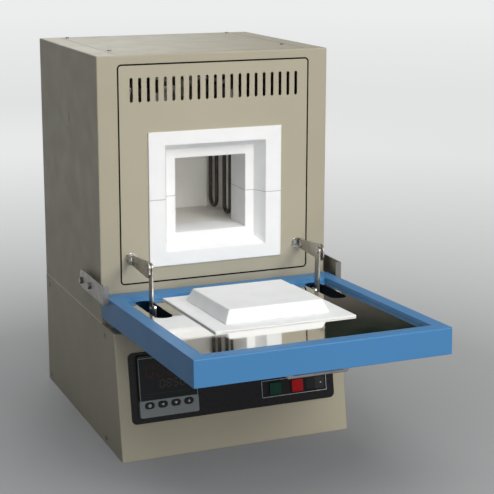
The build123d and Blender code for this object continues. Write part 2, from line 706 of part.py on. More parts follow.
for number, name in enumerate(KEY_NAMES):
    key_x = KEY_X + KEY_PITCH * (number - (len(KEY_NAMES) - 1) / 2)
    with BuildPart() as key:
        with BuildSketch(slope_at(4.4)):
            with Locations((key_x, -KEY_S)):
                SlotOverall(*KEY_SIZE)
        extrude(amount=5.6)
        chamfer(key.faces().sort_by(OUT_OF_SLOPE)[-1].edges(), 0.6)
        with BuildSketch(slope_at(4.4)):
            with Locations((key_x, -KEY_S)):
                SlotOverall(KEY_SIZE[0] + KEY_FLANGE, KEY_SIZE[1] + KEY_FLANGE)
        extrude(amount=1.4)
    finish(key, name)

with BuildPart() as switch_block:
    with BuildSketch(slope_at(BEZEL_LOW)):
        with Locations((STRIP_X, -STRIP_S)):
            RectangleRounded(*STRIP, 1)
    extrude(amount=1.2)
    with BuildSketch(slope_at(BEZEL_LOW)):
        with Locations((sum(SWITCH_BLOCK_X) / 2, -STRIP_S)):
            Rectangle(SWITCH_BLOCK_X[1] - SWITCH_BLOCK_X[0], SWITCH_BLOCK_HEIGHT)
    extrude(amount=-26)
    with BuildSketch(slope_at(BEZEL_LOW)):
        for x in (GREEN_X, RED_X):
            with Locations((x, -STRIP_S)):
                RectangleRounded(CAP + 4, CAP + 4, 1.5)
        with Locations((ROCKER_X, -STRIP_S)):
            RectangleRounded(ROCKER[0] + 4, CAP + 4, 1.5)
    extrude(amount=2.4)
    with BuildSketch(slope_at(POCKET_FLOOR)):
        for x in (GREEN_X, RED_X):
            with Locations((x, -STRIP_S)):
                Rectangle(CAP + 2 * CAP_GAP, CAP + 2 * CAP_GAP)
        with Locations((ROCKER_X, -STRIP_S)):
            Rectangle(ROCKER[0] + 2, ROCKER[1] + 2 * CAP_GAP)
    extrude(amount=20, mode=Mode.SUBTRACT)
    pivot = SLOPE.from_local_coords((ROCKER_X, -STRIP_S, 0))
    with BuildSketch(Plane(origin=pivot, z_dir=SLOPE.y_dir)):
        Circle(1.5 + RUNNING_FIT)
    extrude(amount=11.6, both=True, mode=Mode.SUBTRACT)
finish(switch_block, "switch_block")

for name, x in (("green_button", GREEN_X), ("red_button", RED_X)):
    with BuildPart() as button:
        with BuildSketch(slope_at(-2.5)):
            with Locations((x, -STRIP_S)):
                RectangleRounded(CAP, CAP, 1)
        extrude(amount=9)
        fillet(button.faces().sort_by(OUT_OF_SLOPE)[-1].edges(), 0.8)
    finish(button, name)

with BuildPart() as rocker_switch:
    tip = radians(ROCKER_REST)
    lean = Plane(origin=pivot, x_dir=Vector(1, 0, 0) * cos(tip) + SLOPE.z_dir * sin(tip), z_dir=-SLOPE.y_dir)
    with BuildSketch(lean.offset(-ROCKER[1] / 2)):
        with BuildLine():
            Polyline((0, 2.6), (ROCKER[0] / 2, 4.6), (ROCKER[0] / 2 - 0.6, -1), (5, -5.5),
                     (-5, -5.5), (-ROCKER[0] / 2 + 0.6, -1), (-ROCKER[0] / 2, 4.6), close=True)
        make_face()
    extrude(amount=ROCKER[1])
    with BuildSketch(lean):
        Circle(1.5)
    extrude(amount=11.2, both=True)
finish(rocker_switch, "rocker_switch")

# ---------------------------------------------------------------- door
HINGE_S, HINGE_H = to_door((HINGE_Y, HINGE_Z))
APERTURE_HALF = HALF_WIDTH - RIM_SIDE
APERTURE_FRONT = DOOR_LENGTH - RIM_FRONT
APERTURE_S = (RIM_REAR + APERTURE_FRONT) / 2
APERTURE_LENGTH = APERTURE_FRONT - RIM_REAR
DOOR_FLOOR = -DOOR_THICK + SHEET
NOTCH_HALF = 4.5


def door_bar(inset):
    """The door's cross-section, drawn inset by a sheet's thickness for its cavity."""
    with BuildSketch(door_section(HALF_WIDTH - inset)) as bar:
        with Locations((DOOR_LENGTH / 2, -DOOR_THICK / 2)):
            Rectangle(DOOR_LENGTH - 2 * inset, DOOR_THICK - 2 * inset)
        fillet(bar.vertices().sort_by_distance((0, 0))[0], KNUCKLE - inset)
        if inset == 0:
            fillet(bar.vertices().sort_by_distance((DOOR_LENGTH, 0))[0], BEND)
    return bar.sketch


with BuildPart() as door_shell:
    extrude(door_bar(0), amount=CASE_WIDTH)
    extrude(door_bar(SHEET), amount=CASE_WIDTH - 2 * SHEET, mode=Mode.SUBTRACT)
    with BuildSketch(door_at(-MIRROR_DEPTH)):
        with Locations((0, -APERTURE_S)):
            Rectangle(2 * APERTURE_HALF + 2 * SHEET, APERTURE_LENGTH + 2 * SHEET)
    extrude(amount=MIRROR_DEPTH - SHEET)
    with BuildSketch(door_at(-MIRROR_DEPTH)):
        with Locations((0, -APERTURE_S)):
            Rectangle(2 * APERTURE_HALF, APERTURE_LENGTH)
    extrude(amount=MIRROR_DEPTH, mode=Mode.SUBTRACT)
    for x in (-HINGE_X, HINGE_X):
        with BuildSketch(door_section(x + NOTCH_HALF)):
            with Locations((9.1, -22.8)):
                Rectangle(20.2, 34.4)
            with Locations((11.4, -33.5)):
                Rectangle(24.8, 13)
        extrude(amount=2 * NOTCH_HALF, mode=Mode.SUBTRACT)
finish(door_shell, "door_shell")

SLOT_MIDDLE = sum(SLOT_S) / 2

with BuildPart() as door_mirror_sheet:
    with BuildSketch(door_at(-MIRROR_DEPTH)):
        with Locations((0, -APERTURE_S)):
            Rectangle(2 * APERTURE_HALF - 0.4, APERTURE_LENGTH - 0.4)
        with Locations((-SLOT_X, -SLOT_MIDDLE), (SLOT_X, -SLOT_MIDDLE)):
            SlotOverall(SLOT_S[1] - SLOT_S[0], SLOT_WIDTH, rotation=90, mode=Mode.SUBTRACT)
    extrude(amount=-MIRROR_THICK)
finish(door_mirror_sheet, "door_mirror_sheet")

with BuildPart() as door_insulation:
    with BuildSketch(door_at(-MIRROR_DEPTH - MIRROR_THICK)):
        with Locations((0, -APERTURE_S)):
            Rectangle(2 * APERTURE_HALF - 4, APERTURE_LENGTH - 2)
        with Locations((-SLOT_X, -SLOT_MIDDLE), (SLOT_X, -SLOT_MIDDLE)):
            Rectangle(SLOT_WIDTH + 10, SLOT_S[1] - SLOT_S[0] + 14, mode=Mode.SUBTRACT)
    extrude(amount=DOOR_FLOOR + MIRROR_DEPTH + MIRROR_THICK)
finish(door_insulation, "door_insulation")

with BuildPart() as plug_plate:
    with BuildSketch(door_at(-MIRROR_DEPTH)):
        with Locations((0, -PLUG_S)):
            Rectangle(*PLUG_PLATE)
    extrude(amount=PLUG_PLATE_TOP + MIRROR_DEPTH)
finish(plug_plate, "plug_plate")

with BuildPart() as door_plug:
    with BuildSketch(door_at(PLUG_PLATE_TOP)):
        with Locations((0, -PLUG_S)):
            Rectangle(PLUG_BASE, PLUG_BASE)
    with BuildSketch(door_at(PLUG_TOP)):
        with Locations((0, -PLUG_S)):
            Rectangle(*PLUG_FACE)
    loft()
    plug_foot = door_plug.faces().sort_by(Axis.Z)[0].edges()
    fillet(door_plug.edges() - plug_foot, PLUG_ROUND)
finish(door_plug, "door_plug")

HANDLE_S = 375.0
HANDLE_HALF = 56.0
HANDLE_REACH = 15.0
HANDLE_WIDTH = 12.0

with BuildPart() as door_handle:
    handle_plane = Plane(origin=DOOR.from_local_coords((0, -HANDLE_S + HANDLE_WIDTH / 2, -DOOR_THICK)),
                         x_dir=(1, 0, 0), z_dir=(0, -TILT_COS, TILT_SIN))
    with BuildSketch(handle_plane) as bow:
        with BuildLine():
            Polyline((-HANDLE_HALF, 0), (-HANDLE_HALF + 12, -HANDLE_REACH),
                     (HANDLE_HALF - 12, -HANDLE_REACH), (HANDLE_HALF, 0), close=True)
        make_face()
        with BuildLine():
            Polyline((-HANDLE_HALF + 12, 0), (-HANDLE_HALF + 18, -HANDLE_REACH + 5),
                     (HANDLE_HALF - 18, -HANDLE_REACH + 5), (HANDLE_HALF - 12, 0), close=True)
        make_face(mode=Mode.SUBTRACT)
    extrude(amount=HANDLE_WIDTH)
    fillet(door_handle.edges().filter_by(Axis.X), 1.5)
finish(door_handle, "door_handle")

# ---------------------------------------------------------------- hinge
POST_THICK = 5.0
POST_HALF = 6.0
LUG_Y = (-25.1, -12.0)       # the open door's bracket webs rest against these stop lugs

with BuildPart() as hinge_posts:
    for x in (-HINGE_X, HINGE_X):
        with BuildSketch(side(x - POST_THICK / 2)):
            with Locations((HINGE_Y, HINGE_Z)):
                Circle(POST_HALF)
            with Locations((HINGE_Y, (SEAM + HINGE_Z) / 2)):
                Rectangle(2 * POST_HALF, HINGE_Z - SEAM)
            with Locations((sum(LUG_Y) / 2, 209.5)):
                Rectangle(LUG_Y[1] - LUG_Y[0], 7)
            with Locations((HINGE_Y, HINGE_Z)):
                Circle(PIN_RADIUS, mode=Mode.SUBTRACT)
        extrude(amount=POST_THICK)
        block((x - 9, x + 9), (HINGE_Y - 14, HINGE_Y + 11), (SEAM, SEAM + 3))
finish(hinge_posts, "hinge_posts")

PIN_LENGTH = 17.0

with BuildPart() as hinge_pins:
    for x in (-HINGE_X, HINGE_X):
        with BuildSketch(side(x - PIN_LENGTH / 2)):
            with Locations((HINGE_Y, HINGE_Z)):
                Circle(PIN_RADIUS)
        extrude(amount=PIN_LENGTH)
finish(hinge_pins, "hinge_pins")

CHEEK_THICK = 2.5
CHEEK_IN, CHEEK_OUT = NOTCH_HALF, NOTCH_HALF + CHEEK_THICK
WEB_S = (24.0, 26.0)
BRACKET_TOP = -4.0

with BuildPart() as hinge_brackets:
    for x in (-HINGE_X, HINGE_X):
        for low in (x - CHEEK_OUT, x + CHEEK_IN):
            with BuildSketch(door_section(low + CHEEK_THICK)):
                with Locations((HINGE_S, HINGE_H)):
                    Circle(8.4)
                with Locations(((4 + WEB_S[1]) / 2, (DOOR_FLOOR + HINGE_H) / 2)):
                    Rectangle(WEB_S[1] - 4, HINGE_H - DOOR_FLOOR)
                with Locations(((HINGE_S + WEB_S[1]) / 2, (DOOR_FLOOR + BRACKET_TOP) / 2)):
                    Rectangle(WEB_S[1] - HINGE_S, BRACKET_TOP - DOOR_FLOOR)
                with Locations((HINGE_S, HINGE_H)):
                    Circle(PIN_RADIUS + RUNNING_FIT, mode=Mode.SUBTRACT)
            extrude(amount=CHEEK_THICK)
        with BuildSketch(door_section(x + CHEEK_OUT)):
            with Locations((sum(WEB_S) / 2, (DOOR_FLOOR + BRACKET_TOP) / 2)):
                Rectangle(WEB_S[1] - WEB_S[0], BRACKET_TOP - DOOR_FLOOR)
        extrude(amount=2 * CHEEK_OUT)
finish(hinge_brackets, "hinge_brackets")

# ---------------------------------------------------------------- guide arms beside the case
ARM_Y = (-44.0, 84.0)
ARM_Z = (238.0, 268.0)
ARM_PLANE = 200.5
ARM_THICK = 2.0
ARM_BOLTS = ((30.0, 251.0), (75.0, 249.0))
ARM_CLEAR = 193.0

with BuildPart() as side_arms:
    for sign in (-1, 1):
        low = ARM_PLANE if sign > 0 else -ARM_PLANE - ARM_THICK
        with BuildSketch(side(low)) as blade:
            with Locations((sum(ARM_Y) / 2, sum(ARM_Z) / 2)):
                Rectangle(ARM_Y[1] - ARM_Y[0], ARM_Z[1] - ARM_Z[0])
            rear_corners = blade.vertices().group_by(Axis.X)[-1].sort_by(Axis.Y)
            fillet(rear_corners[-1], 14)
            fillet(blade.vertices().group_by(Axis.X)[-1].sort_by(Axis.Y)[0], 6)
            with Locations(*ARM_BOLTS):
                Circle(3, mode=Mode.SUBTRACT)
        extrude(amount=ARM_THICK)
        tab = sorted((sign * ARM_CLEAR, sign * (ARM_PLANE + ARM_THICK)))
        block(tab, (ARM_Y[0], ARM_Y[0] + ARM_THICK), ARM_Z)
        foot = sorted((sign * HALF_WIDTH, sign * (HALF_WIDTH + ARM_THICK)))
        block(foot, (ARM_Y[0], ARM_Y[0] + 12), (ARM_Z[0], ARM_Z[0] + 7))
        bolt_tip = ARM_CLEAR if sign > 0 else -ARM_PLANE - ARM_THICK - 3.5
        head = ARM_PLANE + ARM_THICK if sign > 0 else -ARM_PLANE - ARM_THICK - 3.5
        shank = ARM_PLANE + ARM_THICK + 3.5 - ARM_CLEAR
        with BuildSketch(side(bolt_tip)):
            with Locations(*ARM_BOLTS):
                Circle(3)
        extrude(amount=shank)
        with BuildSketch(side(head)):
            with Locations(*ARM_BOLTS):
                RegularPolygon(5.5, 6)
        extrude(amount=3.5)
finish(side_arms, "side_arms")

# ---------------------------------------------------------------- folding stays
RISE = radians(STAY_RISE)
ELBOW = (STAY_WALL[0] - STAY_LENGTH * cos(RISE), STAY_WALL[1] + STAY_LENGTH * sin(RISE))
DOOR_PIVOT = (ELBOW[0] + HINGE_Y - STAY_WALL[0], ELBOW[1] + HINGE_Z - STAY_WALL[1])
ELBOW_HALF_WIDTH = 10.5
ELBOW_DROP = 5.0
STAY_PIN = 2.5
OPEN_PIVOT_CLEARANCE = 0.4
HEAD_RADIUS = 3.8


def spans(sign, near, far):
    """Lower end and length of a piece between two distances from the middle."""
    return (near if sign > 0 else -far), far - near


def disc(sign, near, far, centre, radius, mode=Mode.ADD):
    """A round across X between two distances from the middle, centred at (y, z)."""
    start, length = spans(sign, near, far)
    with BuildSketch(side(start)) as round_face:
        with Locations(centre):
            Circle(radius)
    extrude(round_face.sketch, amount=length, mode=mode)


def upper_link(sign):
    """The link from the wall bracket to the elbow, with the elbow rivet formed on it."""
    start, length = spans(sign, UPPER_PLANE, UPPER_PLANE + LINK_THICK)
    with BuildPart() as link:
        with BuildSketch(side(start)):
            with Locations(STAY_WALL):
                Circle(7.5)
            with Locations(ELBOW, (ELBOW[0], ELBOW[1] - ELBOW_DROP)):
                Circle(ELBOW_HALF_WIDTH)
            make_hull()
            with Locations(STAY_WALL):
                Circle(STAY_PIN + RUNNING_FIT, mode=Mode.SUBTRACT)
        extrude(amount=length)
        disc(sign, LOWER_PLANE - 1.5, UPPER_PLANE, ELBOW, STAY_PIN)
        disc(sign, LOWER_PLANE + LINK_THICK + 0.3, UPPER_PLANE, ELBOW, 5)
        disc(sign, LOWER_PLANE - 1.6, LOWER_PLANE - 0.3, ELBOW, HEAD_RADIUS)
        disc(sign, UPPER_PLANE + LINK_THICK, UPPER_PLANE + LINK_THICK + 1.2, ELBOW, 4.5)
    return link


def lower_link(sign):
    """The bar from the elbow down to the door's bolt."""
    start, length = spans(sign, LOWER_PLANE, LOWER_PLANE + LINK_THICK)
    with BuildPart() as link:
        with BuildSketch(side(start)):
            with Locations(ELBOW, DOOR_PIVOT):
                Circle(LOWER_HALF_WIDTH)
            make_hull()
            with Locations(ELBOW):
                Circle(STAY_PIN + RUNNING_FIT, mode=Mode.SUBTRACT)
            with Locations(DOOR_PIVOT):
                Circle(STAY_PIN + OPEN_PIVOT_CLEARANCE, mode=Mode.SUBTRACT)
        extrude(amount=length)
    return link


for side_name, sign in (("left", -1), ("right", 1)):
    finish(upper_link(sign), f"stay_upper_link_{side_name}")
    finish(lower_link(sign), f"stay_lower_link_{side_name}")

FOOT_X = (126.0, 149.5)
FOOT_Z = (280.0, 309.0)
FOOT_THICK = 2.5
FOOT_SCREWS_X = 131.5

with BuildPart() as stay_brackets:
    for sign in (-1, 1):
        foot_x = sorted((sign * FOOT_X[0], sign * FOOT_X[1]))
        block(foot_x, (-FOOT_THICK, 0), FOOT_Z)
        start, length = spans(sign, EAR_PLANE, FOOT_X[1])
        with BuildSketch(side(start)):
            with Locations(STAY_WALL):
                Circle(8)
            with Locations((STAY_WALL[0] / 2, STAY_WALL[1] - 2)):
                Rectangle(-STAY_WALL[0], 18)
        extrude(amount=length)
        disc(sign, UPPER_PLANE - 1.1, EAR_PLANE, STAY_WALL, STAY_PIN)
        disc(sign, UPPER_PLANE - 1.1, UPPER_PLANE - 0.2, STAY_WALL, HEAD_RADIUS)
        with BuildSketch(front(-FOOT_THICK)):
            with Locations((sign * FOOT_SCREWS_X, 302)):
                RegularPolygon(4.2, 6)
            with Locations((sign * FOOT_SCREWS_X, 287)):
                Circle(4.8)
        extrude(amount=0.8)
        with BuildSketch(front(-FOOT_THICK - 0.8)):
            with Locations((sign * FOOT_SCREWS_X, 302)):
                RegularPolygon(4.2, 6)
            with Locations((sign * FOOT_SCREWS_X, 287)):
                Circle(3.4)
        extrude(amount=2.2)
finish(stay_brackets, "stay_brackets")

PIVOT_S, PIVOT_H = to_door(DOOR_PIVOT)
ANCHOR = (133.0, 136.0)

with BuildPart() as stay_anchors:
    for sign in (-1, 1):
        outer = ANCHOR[1] if sign > 0 else -ANCHOR[0]
        with BuildSketch(door_section(outer)):
            with Locations((PIVOT_S, PIVOT_H)):
                Circle(7)
            with Locations((PIVOT_S, (PIVOT_H + DOOR_FLOOR) / 2)):
                Rectangle(14, PIVOT_H - DOOR_FLOOR)
            with Locations((PIVOT_S, HINGE_H + 9)):
                Rectangle(20, 6, mode=Mode.SUBTRACT)
        extrude(amount=ANCHOR[1] - ANCHOR[0])
        foot_outer = ANCHOR[1] if sign > 0 else -ANCHOR[0] + 7
        with BuildSketch(door_section(foot_outer)):
            with Locations((PIVOT_S, DOOR_FLOOR + 1)):
                Rectangle(20, 2)
        extrude(amount=10)
        disc(sign, ANCHOR[1], LOWER_PLANE + LINK_THICK + 1.6, DOOR_PIVOT, STAY_PIN)
        disc(sign, ANCHOR[1], LOWER_PLANE - 0.4, DOOR_PIVOT, 4)
        disc(sign, LOWER_PLANE + LINK_THICK + 0.3, LOWER_PLANE + LINK_THICK + 1.6, DOOR_PIVOT,
             HEAD_RADIUS)
finish(stay_anchors, "stay_anchors")
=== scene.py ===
import json
import math

import bmesh
import bpy
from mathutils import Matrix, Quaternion, Vector


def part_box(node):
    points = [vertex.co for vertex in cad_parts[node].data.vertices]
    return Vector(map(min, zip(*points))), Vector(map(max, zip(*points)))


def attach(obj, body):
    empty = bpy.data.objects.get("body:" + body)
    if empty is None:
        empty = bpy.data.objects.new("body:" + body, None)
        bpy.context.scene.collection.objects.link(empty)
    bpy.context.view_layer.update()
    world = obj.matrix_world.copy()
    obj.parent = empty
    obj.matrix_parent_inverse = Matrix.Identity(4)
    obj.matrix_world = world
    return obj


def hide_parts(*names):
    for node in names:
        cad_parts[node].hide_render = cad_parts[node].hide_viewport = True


# A bench muffle furnace with a flap-down door, dressed over its CAD frame.
# Metres, +Z up; X runs to the user's right and Y to the back.
# Outlines and places on the furnace are written in millimetres, unless a line says metres.

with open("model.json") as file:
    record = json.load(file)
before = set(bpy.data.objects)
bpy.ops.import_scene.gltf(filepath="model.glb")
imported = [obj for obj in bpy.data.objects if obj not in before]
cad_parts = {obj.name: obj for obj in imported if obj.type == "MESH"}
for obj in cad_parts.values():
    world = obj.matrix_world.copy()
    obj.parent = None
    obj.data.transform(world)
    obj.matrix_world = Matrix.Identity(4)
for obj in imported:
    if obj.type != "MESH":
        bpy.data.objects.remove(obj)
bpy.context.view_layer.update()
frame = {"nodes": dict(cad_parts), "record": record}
nodes = frame["nodes"]
scene = bpy.context.scene
SIDES = ((-1, "left"), (1, "right"))


# ---------------------------------------------------------------- node helpers
def feed(tree, socket, value):
    """Set a socket to a value, or link another node's output to it."""
    if isinstance(value, bpy.types.NodeSocket):
        tree.links.new(value, socket)
    else:
        socket.default_value = value


def math_node(tree, operation, *values):
    node = tree.nodes.new("ShaderNodeMath")
    node.operation = operation
    for socket, value in zip(node.inputs, values):
        feed(tree, socket, value)
    return node.outputs[0]


def fill_ramp(node, stops):
    """Give a colour ramp its stops, as (position, colour) pairs."""
    elements = node.color_ramp.elements
    while len(elements) < len(stops):
        elements.new(0.5)
    for element, (position, color) in zip(elements, stops):
        element.position = position
        element.color = (*color, 1.0)


def seen_ray(tree):
    """1 for rays that show the background: from the camera, in gloss and through glass."""
    ray = tree.nodes.new("ShaderNodeLightPath")
    total = ray.outputs["Is Camera Ray"]
    for name in ("Is Glossy Ray", "Is Transmission Ray"):
        total = math_node(tree, "MAXIMUM", total, ray.outputs[name])
    return total


class Shader:
    """A Principled material under construction, with a few named helpers."""

    NOISE_LOW, NOISE_HIGH = 0.3, 0.7  # most of a noise texture lies between these values

    def __init__(self, name, color, roughness, metallic=0.0):
        self.material = bpy.data.materials.new(name)
        self.material.use_nodes = True
        self.tree = self.material.node_tree
        self.surface = self.tree.nodes["Principled BSDF"]
        self.surface.inputs["Base Color"].default_value = (*color, 1.0)
        self.surface.inputs["Roughness"].default_value = roughness
        self.surface.inputs["Metallic"].default_value = metallic
        self.material.diffuse_color = (*color, 1.0)
        self.place = self.tree.nodes.new("ShaderNodeTexCoord").outputs["Object"]

    def add(self, kind, **inputs):
        """A new node, with inputs given by their names."""
        node = self.tree.nodes.new(kind)
        for name, value in inputs.items():
            feed(self.tree, node.inputs[name.replace("_", " ")], value)
        return node

    def noise(self, scale, detail=3.0, stretch=(1.0, 1.0, 1.0)):
        mapping = self.add("ShaderNodeMapping", Vector=self.place, Scale=stretch)
        node = self.add("ShaderNodeTexNoise", Vector=mapping.outputs[0], Scale=scale,
                        Detail=detail)
        return node.outputs["Fac"]

    def ramp(self, value, stops):
        node = self.add("ShaderNodeValToRGB", Fac=value)
        fill_ramp(node, stops)
        return node.outputs["Color"]

    def link(self, value, socket):
        self.tree.links.new(value, self.surface.inputs[socket])

    def mottle(self, color, amount, scale):
        """Colour that wanders a little round its mean."""
        darker = tuple(c * (1 - amount) for c in color)
        lighter = tuple(min(1.0, c * (1 + amount)) for c in color)
        stops = ((self.NOISE_LOW, darker), (self.NOISE_HIGH, lighter))
        self.link(self.ramp(self.noise(scale), stops), "Base Color")

    def rough(self, low, high, scale):
        """Roughness that wanders between two values."""
        tone = self.add("ShaderNodeMapRange", Value=self.noise(scale),
                        From_Min=self.NOISE_LOW, From_Max=self.NOISE_HIGH,
                        To_Min=low, To_Max=high)
        self.link(tone.outputs["Result"], "Roughness")

    def relief(self, height, strength, distance, rounding=0.0):
        """Bump from a height, over edges softened by a small radius."""
        bump = self.add("ShaderNodeBump", Height=height, Strength=strength, Distance=distance)
        if rounding:
            edge = self.add("ShaderNodeBevel", Radius=rounding)
            self.tree.links.new(edge.outputs["Normal"], bump.inputs["Normal"])
        self.link(bump.outputs["Normal"], "Normal")

    def specular(self, level):
        self.surface.inputs["Specular IOR Level"].default_value = level


# ---------------------------------------------------------------- finishes
def powder_coat(name, color, rounding=0.0015):
    """Baked powder: a fine even pebble under a low sheen."""
    shader = Shader(name, color, 0.5)
    shader.mottle(color, amount=0.025, scale=7)
    shader.rough(0.45, 0.56, scale=30)
    shader.relief(shader.noise(900, detail=2), 0.12, 0.0003, rounding)
    shader.specular(0.25)
    return shader.material


def enamel(name, color):
    """Smooth sprayed enamel with a faint orange peel."""
    shader = Shader(name, color, 0.36)
    shader.mottle(color, amount=0.02, scale=6)
    shader.rough(0.33, 0.39, scale=20)
    shader.relief(shader.noise(500, detail=1), 0.03, 0.0002, rounding=0.0010)
    shader.specular(0.18)
    return shader.material


def fibre(name, color, rounding=0.0028):
    """Vacuum-formed ceramic fibre: matte, slightly felted and pitted."""
    shader = Shader(name, color, 0.95)
    shader.mottle(color, amount=0.02, scale=26)
    felt = shader.noise(520, detail=6)
    lumps = shader.noise(70, detail=3)
    height = math_node(shader.tree, "ADD", felt, lumps)
    shader.relief(height, 0.35, 0.0006, rounding)
    return shader.material


def mirror_sheet(name, color):
    """Polished stainless sheet with the faintest waviness and haze."""
    shader = Shader(name, color, 0.045, metallic=1.0)
    shader.rough(0.03, 0.075, scale=14)
    shader.relief(shader.noise(9, detail=1), 0.02, 0.001)
    return shader.material


def plated(name, color, roughness):
    """Rolled or plated steel with fine grain and handling marks."""
    shader = Shader(name, color, roughness, metallic=1.0)
    shader.mottle(color, amount=0.08, scale=35)
    shader.rough(roughness * 0.7, roughness * 1.4, scale=90)
    grain = shader.noise(180, detail=3, stretch=(1.0, 6.0, 6.0))
    shader.relief(grain, 0.10, 0.0002, rounding=0.0003)
    return shader.material


def moulded(name, color, roughness, texture=700):
    """Moulded plastic with a fine spark-eroded texture."""
    shader = Shader(name, color, roughness)
    shader.mottle(color, amount=0.02, scale=45)
    shader.rough(roughness * 0.96, roughness * 1.04, scale=240)
    shader.relief(shader.noise(texture, detail=2), 0.04, 0.0001, rounding=0.0003)
    shader.specular(0.16)
    return shader.material


def two_tone_moulding(name, above, below, border):
    """Moulded plastic in one colour above a height, in metres, and another below it."""
    shader = Shader(name, below, 0.42)
    height = shader.add("ShaderNodeSeparateXYZ", Vector=shader.place).outputs["Z"]
    step = shader.add("ShaderNodeMapRange", Value=height,
                      From_Min=border - 0.0001, From_Max=border + 0.0001)
    shader.link(shader.ramp(step.outputs["Result"], ((0.3, below), (0.7, above))),
                "Base Color")
    shader.rough(0.40, 0.44, scale=240)
    shader.relief(shader.noise(700, detail=2), 0.04, 0.0001, rounding=0.0003)
    shader.specular(0.2)
    return shader.material


def glossy_cap(name, color):
    """A translucent moulded push cap under a hard shine."""
    shader = Shader(name, color, 0.22)
    shader.mottle(color, amount=0.10, scale=90)
    shader.relief(shader.noise(260, detail=2), 0.05, 0.0002, rounding=0.0006)
    shader.specular(0.14)
    return shader.material


def element_glaze(name, dark, bloom):
    """Dark silica-glazed heating element, with a brownish bloom."""
    shader = Shader(name, (0.03, 0.026, 0.024), 0.35)
    shader.link(shader.ramp(shader.noise(60), ((0.35, dark), (0.7, bloom))), "Base Color")
    shader.rough(0.25, 0.5, scale=80)
    shader.relief(shader.noise(300, detail=3), 0.2, 0.0003)
    return shader.material


def layered(name, dark, light, pitch, axis, roughness, metallic=0.0):
    """Stacked laminations or wound turns: fine bands across one axis."""
    shader = Shader(name, light, roughness, metallic)
    bands = shader.add("ShaderNodeTexWave", Vector=shader.place, Scale=0.5 / pitch,
                       Distortion=0.3)
    bands.bands_direction = axis
    shader.link(shader.ramp(bands.outputs["Fac"], ((0.25, dark), (0.6, light))),
                "Base Color")
    shader.relief(bands.outputs["Fac"], 0.5, 0.0004)
    return shader.material


materials = {
    "case_paint": powder_coat("case_powder_coat", (0.430, 0.388, 0.290)),
    "panel_paint": powder_coat("panel_powder_coat", (0.450, 0.407, 0.304), rounding=0.0005),
    "door_paint": enamel("door_enamel", (0.070, 0.230, 0.465)),
    "fibre_white": fibre("formed_fibre", (0.925, 0.92, 0.905)),
    "fibre_board": fibre("fibre_board", (0.72, 0.68, 0.58)),
    "lining_brick": fibre("chamber_lining", (0.92, 0.90, 0.845)),
    "polished_sheet": mirror_sheet("polished_sheet", (0.80, 0.79, 0.76)),
    "inner_steel": plated("inner_steel", (0.46, 0.46, 0.45), 0.42),
    "element_dark": element_glaze("element_glaze", (0.018, 0.016, 0.016),
                                  (0.06, 0.045, 0.036)),
    "holder_ceramic": moulded("holder_ceramic", (0.74, 0.69, 0.58), 0.45, texture=300),
    "strap_aluminium": plated("strap_aluminium", (0.62, 0.62, 0.63), 0.38),
    "bright_steel": plated("bright_steel", (0.66, 0.65, 0.63), 0.30),
    "fastener_steel": plated("fastener_steel", (0.33, 0.32, 0.30), 0.35),
    "black_panel": moulded("panel_overlay", (0.012, 0.012, 0.014), 0.28, texture=900),
    "bezel_grey": moulded("bezel_moulding", (0.20, 0.215, 0.215), 0.42),
    "display_window": glossy_cap("smoked_window", (0.010, 0.014, 0.014)),
    "black_plastic": moulded("black_plastic", (0.014, 0.014, 0.016), 0.38),
    "button_green": glossy_cap("green_cap", (0.003, 0.050, 0.028)),
    "button_red": glossy_cap("red_cap", (0.45, 0.005, 0.008)),
    "core_steel": layered("core_laminations", (0.05, 0.05, 0.055), (0.16, 0.16, 0.17),
                          pitch=0.0012, axis="Y", roughness=0.5, metallic=0.6),
    "coil_wrap": layered("coil_windings", (0.16, 0.07, 0.02), (0.48, 0.26, 0.07),
                         pitch=0.0022, axis="Z", roughness=0.35),
}

# nodes whose finish departs from that of their slot
KEY_BAND_TOP = 0.0911  # metres; the bezel is dark round the window and light below this
own_finish = {
    "side_arms": plated("satin_arms", (0.30, 0.29, 0.268), 0.36),
    "controller_bezel": two_tone_moulding("bezel_two_tone", (0.020, 0.021, 0.021),
                                          (0.25, 0.27, 0.27), KEY_BAND_TOP),
    "door_handle": plated("satin_handle", (0.30, 0.29, 0.29), 0.5),
    # painted shade: the door's board is near black where it shows through the slots
    "door_insulation": fibre("slot_board_painted_shade", (0.018, 0.018, 0.022)),
    "switch_block": moulded("switch_moulding", (0.010, 0.010, 0.011), 0.4),
}
stay_steel = plated("stay_steel", (0.40, 0.375, 0.335), 0.34)
for _, side_name in SIDES:
    for level in ("upper", "lower"):
        own_finish["stay_" + level + "_link_" + side_name] = stay_steel
for entry in frame["record"]["subparts"]:
    node_materials = nodes[entry["node"]].data.materials
    node_materials.clear()
    node_materials.append(own_finish.get(entry["node"]) or materials[entry["material_slot"]])


# ---------------------------------------------------------------- making pieces
def add_object(name, mesh, material):
    """An object in the scene from a bmesh, which is freed."""
    data = bpy.data.meshes.new(name)
    mesh.to_mesh(data)
    mesh.free()
    data.materials.append(material)
    new_object = bpy.data.objects.new(name, data)
    scene.collection.objects.link(new_object)
    return new_object


def add_piece(name, mesh, body, material):
    """A piece of the furnace, riding on a body."""
    bmesh.ops.recalc_face_normals(mesh, faces=mesh.faces)
    piece = add_object(name, mesh, material)
    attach(piece, body)
    return piece


def prisms(name, outlines, start, end, place, body, material):
    """Closed solids on the given outlines, from start to end along place's third value."""
    mesh = bmesh.new()
    for outline in outlines:
        bottom = [mesh.verts.new(place(u, v, start)) for u, v in outline]
        top = [mesh.verts.new(place(u, v, end)) for u, v in outline]
        mesh.faces.new(bottom)
        mesh.faces.new(list(reversed(top)))
        for i in range(len(outline)):
            j = (i + 1) % len(outline)
            mesh.faces.new((bottom[j], bottom[i], top[i], top[j]))
    add_piece(name, mesh, body, material)


